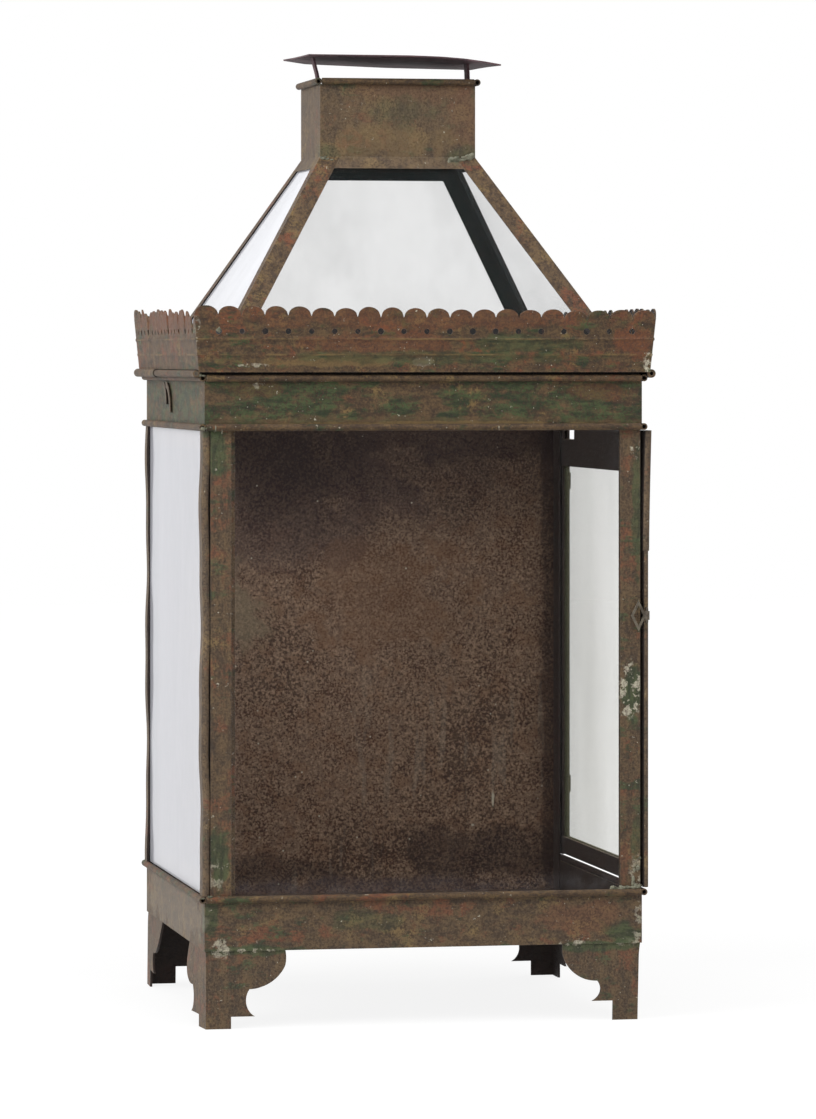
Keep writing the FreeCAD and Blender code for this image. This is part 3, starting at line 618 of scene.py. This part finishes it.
def solder_rule():
    """Lumps of solder along a seam. The line node takes its far end at the socket called Offset."""
    r = Shape("solder_seam", {"Start": tuple, "End": tuple, "Count": int, "Size": tuple, "Seed": int})
    line = r.node("GeometryNodeMeshLine", {"mode": "END_POINTS"}, {
        "Count": r.size("Count"), "Start Location": r.size("Start"), "Offset": r.size("End")})
    index = r.node("GeometryNodeInputIndex")
    seed = r.size("Seed")
    jump = r.node("ShaderNodeCombineXYZ", {}, {
        axis: r.chance(-0.5, 0.5, index, seed + 20 + axis) for axis in range(3)})
    line = r.node("GeometryNodeSetPosition", {}, {
        "Geometry": line, "Offset": r.vector("MULTIPLY", jump, r.size("Size"))})
    lump = r.node("GeometryNodeMeshIcoSphere", {}, {"Radius": 1.0, "Subdivisions": 3}, "Mesh")
    share = r.node("ShaderNodeCombineXYZ", {}, {
        axis: r.chance(0.3, 1.0, index, seed + axis) for axis in range(3)})
    lumps = r.node("GeometryNodeInstanceOnPoints", {}, {
        "Points": line, "Instance": lump, "Scale": r.vector("MULTIPLY", share, r.size("Size"))})
    r.end(lumps)
    return r


gallery = gallery_rule()
# Each strip: side, which foot size it spans, scallops, lift, tilt, dip, sag, wear and seed
GALLERY_STRIPS = [
    ("front", 0, 20, 0.0, 1.4, 0.0, 0.0, 0.6, 3), ("right", 1, 18, 0.0, 0.0, 0.0, 0.0, 0.7, 11),
    ("back", 0, 20, 0.0, 0.0, 0.0, 5.0, 0.6, 23), ("left", 1, 18, 1.75, 0.0, 7.0, 0.0, 1.7, 37),
]
line_heights = [(height - GALLERY_FOOT_Z) * MM for height in SCRIBED_LINES]
for turn, (side, across, count, lift, tilt, dip, sag, wear, seed) in enumerate(GALLERY_STRIPS):
    mesh = gallery.mesh({
        "Half Foot": GALLERY_FOOT[across] * MM, "Flare": GALLERY_FLARE * MM, "Height": GALLERY_HEIGHT * MM,
        "Lift": lift * MM, "Rise": SCALLOP_RISE * MM, "Count": count, "Hole Radius": HOLE_RADIUS * MM,
        "Hole Height": HOLE_HEIGHT * MM, "Sheet": SHEET * MM,
        "Tilt": tilt * MM, "Dip": dip * MM, "Sag": sag * MM,
        "Upper Line": line_heights[0], "Lower Line": line_heights[1],
        "Wear": wear, "Seed": seed, "Finish": gallery_finish})
    stand = Matrix.Translation((0, -GALLERY_FOOT[1 - across] * MM, GALLERY_FOOT_Z * MM))
    mesh.transform(Matrix.Rotation(turn * math.pi / 2, 4, "Z") @ stand)
    strip = bmesh.new()
    strip.from_mesh(mesh)
    place("pierced_gallery_" + side, tidied(strip, mesh, 40), "lid", "painted_iron", "gallery_" + side)


def between(points, value):
    """The height at a place on a line of (place, height) points."""
    for (x0, z0), (x1, z1) in zip(points, points[1:]):
        if value <= x1:
            break
    return z0 + (z1 - z0) * (value - x0) / (x1 - x0)


# The rain cap, in millimetres: its half sizes, its place to the right, and its front and back edges
CAP_HALF = (67.5, 51.5)
CAP_SHIFT = 2.6
CAP_RIPPLE = 0.35
CAP_FRONT = [(-67.5, 657.0), (4, 656.9), (25, 656.3), (42, 655.1), (56, 653.3), (67.5, 651.4)]
CAP_BACK = [(-67.5, 658.9), (-52, 656.7), (6, 654.7), (40, 654.2), (67.5, 653.8)]


def bent_cap():
    """The rain cap: one plate, its front edge bent down at the right, its back edge turned up at the left."""
    columns, rows = 46, 14
    half_x, half_y = CAP_HALF
    shape = bmesh.new()
    layers = []
    for drop in (0.0, SHEET):
        layer = []
        for i in range(columns + 1):
            x = -half_x + 2 * half_x * i / columns
            for j in range(rows + 1):
                share = j / rows
                y = -half_y + 2 * half_y * share
                ripple = CAP_RIPPLE * math.sin(x * 0.11) * math.sin(share * math.pi)
                z = between(CAP_FRONT, x) * (1 - share) + between(CAP_BACK, x) * share + ripple - drop
                layer.append(shape.verts.new(((x + CAP_SHIFT) * MM, y * MM, z * MM)))
        layers.append(layer)
    size = rows + 1

    def quad(layer, i, j):
        near, far = i * size + j, (i + 1) * size + j
        return [layer[near], layer[far], layer[far + 1], layer[near + 1]]

    for i in range(columns):
        for j in range(rows):
            for layer in layers:
                shape.faces.new(quad(layer, i, j))
    top, low = layers
    rim = [i * size for i in range(columns + 1)] + [columns * size + j for j in range(1, size)]
    rim += [i * size + rows for i in reversed(range(columns))] + list(reversed(range(1, rows)))
    for a, b in zip(rim, rim[1:] + rim[:1]):
        shape.faces.new([top[a], top[b], low[b], low[a]])
    return finished(shape, "bent_cap", smoked)


def bent_strap(name, path, y, width, thick):
    """A flat strap bent along a path of (x, z) points."""
    shape = bmesh.new()
    rings = []
    for x, z in path:
        ring = [(x - thick / 2, y - width / 2), (x + thick / 2, y - width / 2),
                (x + thick / 2, y + width / 2), (x - thick / 2, y + width / 2)]
        rings.append([shape.verts.new((a * MM, b * MM, z * MM)) for a, b in ring])
    for low, high in zip(rings, rings[1:]):
        for k in range(4):
            shape.faces.new([low[k], low[(k + 1) % 4], high[(k + 1) % 4], high[k]])
    shape.faces.new(rings[0])
    shape.faces.new(rings[-1])
    return finished(shape, name, smoked)


place("bent_cap", bent_cap(), "lid", "cap_iron", "vent_cap")
# Each cap strap: side, path, width and thickness, in millimetres
STRAP_Y = -20
STRAPS = [
    ("left", [(-52.7, 625.2), (-52.7, 640), (-53.6, 645), (-55.2, 651), (-56.4, 656.2)], 8.0, 1.6),
    ("right", [(52.7, 625.2), (52.7, 640), (52.5, 647), (52.0, 653.2)], 10.0, 1.8),
]
for side, path, width, thick in STRAPS:
    name = side + "_cap_strap"
    place(name, bent_strap(name, path, STRAP_Y, width, thick), "lid", "cap_iron", "cap_strap_" + side)


# Bracket feet, cut by hand and bent over the years, each in its own way, in millimetres
FOOT_HEIGHT = 52.0
EAR_HEIGHT = 10.5
NECK_HEIGHT = 28.0
TOE_REACH = 20.0
LEAF_EDGE = 3.0
BEND_REACH = 40.0
FOOT_CUT = 4
FEET = [
    ("foot_front_left", {"toe": 1.5, "ear": 2.4, "longer": 1.04, "lean": 0.0, "bend": 3.4}),
    ("foot_front_right", {"toe": 2.4, "ear": -2.6, "longer": 1.0, "lean": 1.8, "bend": 0.0}),
    ("foot_back_left", {"toe": 3.0, "ear": -1.6, "longer": 1.13, "lean": -0.8, "bend": 1.4}),
    ("foot_back_right", {"toe": 2.5, "ear": 0.0, "longer": 1.0, "lean": 0.0, "bend": 0.0}),
]


def cut_copy(node, levels):
    """A CAD node's shape with its flat faces whole and cut across at some heights, so that it can be bent."""
    shape = bmesh.new()
    shape.from_mesh(nodes[node].data)
    bmesh.ops.remove_doubles(shape, verts=shape.verts, dist=CLOSE)
    bmesh.ops.dissolve_limit(shape, angle_limit=math.radians(1), verts=shape.verts, edges=shape.edges)
    for level in levels:
        everything = shape.verts[:] + shape.edges[:] + shape.faces[:]
        bmesh.ops.bisect_plane(shape, geom=everything, plane_co=(0, 0, level * MM), plane_no=(0, 0, 1))
    return shape


def bent_foot(node, toe, ear, longer, lean, bend):
    """A foot with a wider toe, a longer front or back leaf, an inward lean and a side leaf bent outwards.

    The ear moves down by its measure, or up where that is below 0.
    """
    shape = cut_copy(node, range(FOOT_CUT, int(FOOT_HEIGHT) + 1, FOOT_CUT))
    corner_x = max((v.co.x for v in shape.verts), key=abs) / MM
    corner_y = max((v.co.y for v in shape.verts), key=abs) / MM
    side_x, side_y = math.copysign(1, corner_x), math.copysign(1, corner_y)
    for v in shape.verts:
        u, w, z = side_x * (corner_x - v.co.x / MM), side_y * (corner_y - v.co.y / MM), v.co.z / MM
        low = max(0.0, min(1.0, (FOOT_HEIGHT - z) / FOOT_HEIGHT))
        if w < LEAF_EDGE < u:
            if u < TOE_REACH and z < EAR_HEIGHT + 0.1:
                u += toe
            u *= 1 + (longer - 1) * min(1.0, low * 5)
        if u < LEAF_EDGE < w:
            u -= bend * w / BEND_REACH * min(1.0, 2 * low)
        above = max(0.0, 1 - (z - EAR_HEIGHT) / (NECK_HEIGHT - EAR_HEIGHT))
        z -= ear * (z / EAR_HEIGHT if z < EAR_HEIGHT else above)
        u += lean * (0.4 * min(1.0, low * 8) + 0.6 * low)
        v.co = Vector((corner_x - side_x * u, corner_y - side_y * w, z)) * MM
    return finished(shape, "bent_" + node, foot_finish)


for node, form in FEET:
    place("bent_" + node, bent_foot(node, **form), "body", "painted_iron", node)

# The fixed light's stiles, which ripple a little along their length: two waves, each a height in
# millimetres, a turn for each millimetre and a share of the stile's phase
RIPPLES = [("left_light_front_stile", 1.9), ("left_light_back_stile", 0.4)]
RIPPLE_WAVES = [(0.55, 0.045, 1), (0.3, 0.11, 2)]
RIPPLE_CUTS = range(96, 400, 8)


def rippled_stile(node, phase):
    shape = cut_copy(node, RIPPLE_CUTS)
    for v in shape.verts:
        z = v.co.z / MM
        v.co.x += MM * sum(high * math.sin(z * rate + part * phase) for high, rate, part in RIPPLE_WAVES)
    return finished(shape, "rippled_" + node, light_finish)


for node, phase in RIPPLES:
    place("rippled_" + node, rippled_stile(node, phase), "body", "painted_iron", node)

# The door's front stile: its upper part is doubled and bowed outwards
STILE_STEP = 318.0
STILE_HEAD = 398.0
STILE_BOW = 1.6
STILE_THIN = 0.72
STILE_CURL = 0.9
STEP_DROP = 0.6
STILE_CUTS = [STILE_STEP - STEP_DROP] + [STILE_STEP + 10 * i for i in range(8)]


def bowed_stile():
    """The stile, thinner below its step and bowed above it."""
    shape = cut_copy("door_front_stile", STILE_CUTS)
    across = [v.co.x for v in shape.verts]
    middle = (min(across) + max(across)) / 2
    head = max(v.co.z for v in shape.verts)
    for v in shape.verts:
        z = v.co.z / MM
        if v.co.z > head - MM:
            v.co.z += STILE_CURL * MM
        if z < STILE_STEP - STEP_DROP / 2:
            v.co.x = middle + (v.co.x - middle) * STILE_THIN
        else:
            v.co.x += STILE_BOW * MM * max(0.0, (z - STILE_STEP) / (STILE_HEAD - STILE_STEP)) ** 1.4
    return finished(shape, "bowed_door_stile", light_finish)


place("bowed_door_stile", bowed_stile(), "door", "painted_iron", "door_front_stile")

solder_seam = solder_rule()
# Each seam: name, body, start, end, lumps, size of the largest lump, and seed
SEAMS = [
    ("chimney_corner", "lid", (36, -39.8, 584.5), (53, -39.5, 588), 26, (2.6, 1.0, 2.4), 2),
    ("chimney_corner_left", "lid", (-54, -39.5, 587), (-47, -39.5, 585.5), 6, (1.8, 0.9, 1.6), 5),
    ("frieze_corner", "body", (-150, -136, 401), (-141, -136.5, 401.5), 4, (2.4, 1.8, 2.2), 7),
    ("plinth_corner", "body", (-151, -136, 88), (-140, -136.8, 88.5), 5, (2.2, 1.6, 1.4), 13),
    ("plinth_corner_right", "body", (128, -136, 89), (149, -136, 90), 24, (2.4, 1.2, 1.9), 17),
    ("post_foot_right", "body", (143, -134.6, 92), (148, -134.6, 108), 5, (2.0, 0.8, 3.0), 19),
    ("hinge_corner", "body", (-154, -137, 437), (-148, -137, 436), 3, (2.2, 1.6, 1.6), 29),
    ("hole_plug", "lid", (-142.0, -141.9, 466.2), (-140.9, -141.9, 466.7), 3, (2.2, 0.9, 2.2), 31),
]
for name, body, start, end, count, size, seed in SEAMS:
    mesh = solder_seam.mesh({
        "Start": [v * MM for v in start], "End": [v * MM for v in end], "Count": count,
        "Size": [v * MM for v in size], "Seed": seed, "Finish": solder})
    lumps = bmesh.new()
    lumps.from_mesh(mesh)
    place("solder_" + name, tidied(lumps, mesh, 60), body, "painted_iron")


# Camera
view = bpy.data.cameras.new("camera")
view.sensor_width = SENSOR
view.lens = FOCAL_PIXELS * SENSOR / PHOTO_HEIGHT
view.shift_y = (HORIZON_PIXEL - PHOTO_HEIGHT / 2) / PHOTO_HEIGHT
camera = bpy.data.objects.new("camera", view)
camera.location = CAMERA_PLACE
camera.rotation_euler = (math.pi / 2, 0, -CAMERA_TURN)
bpy.context.scene.collection.objects.link(camera)
bpy.context.scene.camera = camera


# Floor and light
def seen(n):
    """1 for the eye, gloss and glass, and 0 for light that falls on things."""
    kinds = ("Is Camera Ray", "Is Glossy Ray", "Is Transmission Ray")
    eye, gloss, glass = n.node("ShaderNodeLightPath", output=kinds)
    return n.sum("MAXIMUM", n.sum("MAXIMUM", eye, gloss), glass)


def lamp(name, spot, aim, size, power):
    """A soft square lamp that looks at a point."""
    light = bpy.data.lights.new(name, "AREA")
    light.shape = "RECTANGLE"
    light.size, light.size_y = size
    light.energy = power
    made = bpy.data.objects.new(name, light)
    made.location = spot
    made.rotation_euler = (Vector(aim) - Vector(spot)).to_track_quat("-Z", "Y").to_euler()
    bpy.context.scene.collection.objects.link(made)


world = bpy.data.worlds.new("studio")
world.use_nodes = True
bpy.context.scene.world = world
sky = Nodes(world.node_tree)
WHITE = (1, 1, 1, 1)
SKY_LIGHT = 0.38
soft = sky.node("ShaderNodeBackground", {}, {"Color": WHITE, "Strength": SKY_LIGHT})
bright = sky.node("ShaderNodeBackground", {}, {"Color": WHITE, "Strength": 1.0})
sky_mix = sky.node("ShaderNodeMixShader", {}, {0: seen(sky), 1: soft, 2: bright})
sky.node("ShaderNodeOutputWorld", {}, {"Surface": sky_mix})

# The floor: pale and matt for the light that falls on it, and a little dimmer near the lantern for the eye
REACH = 6.0
NEAR, FAR = 0.35, 1.1
MATT, DIM = 0.75, 0.16
ground = bpy.data.meshes.new("floor")
corners = [(-REACH, -REACH, 0), (REACH, -REACH, 0), (REACH, REACH, 0), (-REACH, REACH, 0)]
ground.from_pydata(corners, [], [(0, 1, 2, 3)])
floor = bpy.data.objects.new("floor", ground)
bpy.context.scene.collection.objects.link(floor)
paper = Finish("paper")
away = paper.vector("LENGTH", paper.place, (0, 0, 0), "Value")
near_white, far_white = tone(241, 241, 241), tone(248, 248, 248)
glow = paper.blend(paper.rise(away, NEAR, FAR), near_white, far_white)
white = paper.node("ShaderNodeEmission", {}, {"Color": glow, "Strength": 1.0})
matt = paper.node("ShaderNodeBsdfDiffuse", {}, {"Color": (MATT, MATT, MATT, 1)})
dim = paper.node("ShaderNodeBsdfDiffuse", {}, {"Color": (DIM, DIM, DIM, 1)})
shown = paper.node("ShaderNodeAddShader", {}, {0: white, 1: dim})
both = paper.node("ShaderNodeMixShader", {}, {0: seen(paper), 1: matt, 2: shown})
paper.node("ShaderNodeOutputMaterial", {}, {"Surface": both})
ground.materials.append(paper.material)

lamp("key_light", spot=(-2.2, -1.0, 1.5), aim=(0, 0, 0.35), size=(1.6, 1.6), power=44)
lamp("top_light", spot=(0.2, -0.9, 2.2), aim=(0, 0, 0.3), size=(2.0, 2.0), power=26)

bpy.context.scene.view_settings.view_transform = "Standard"
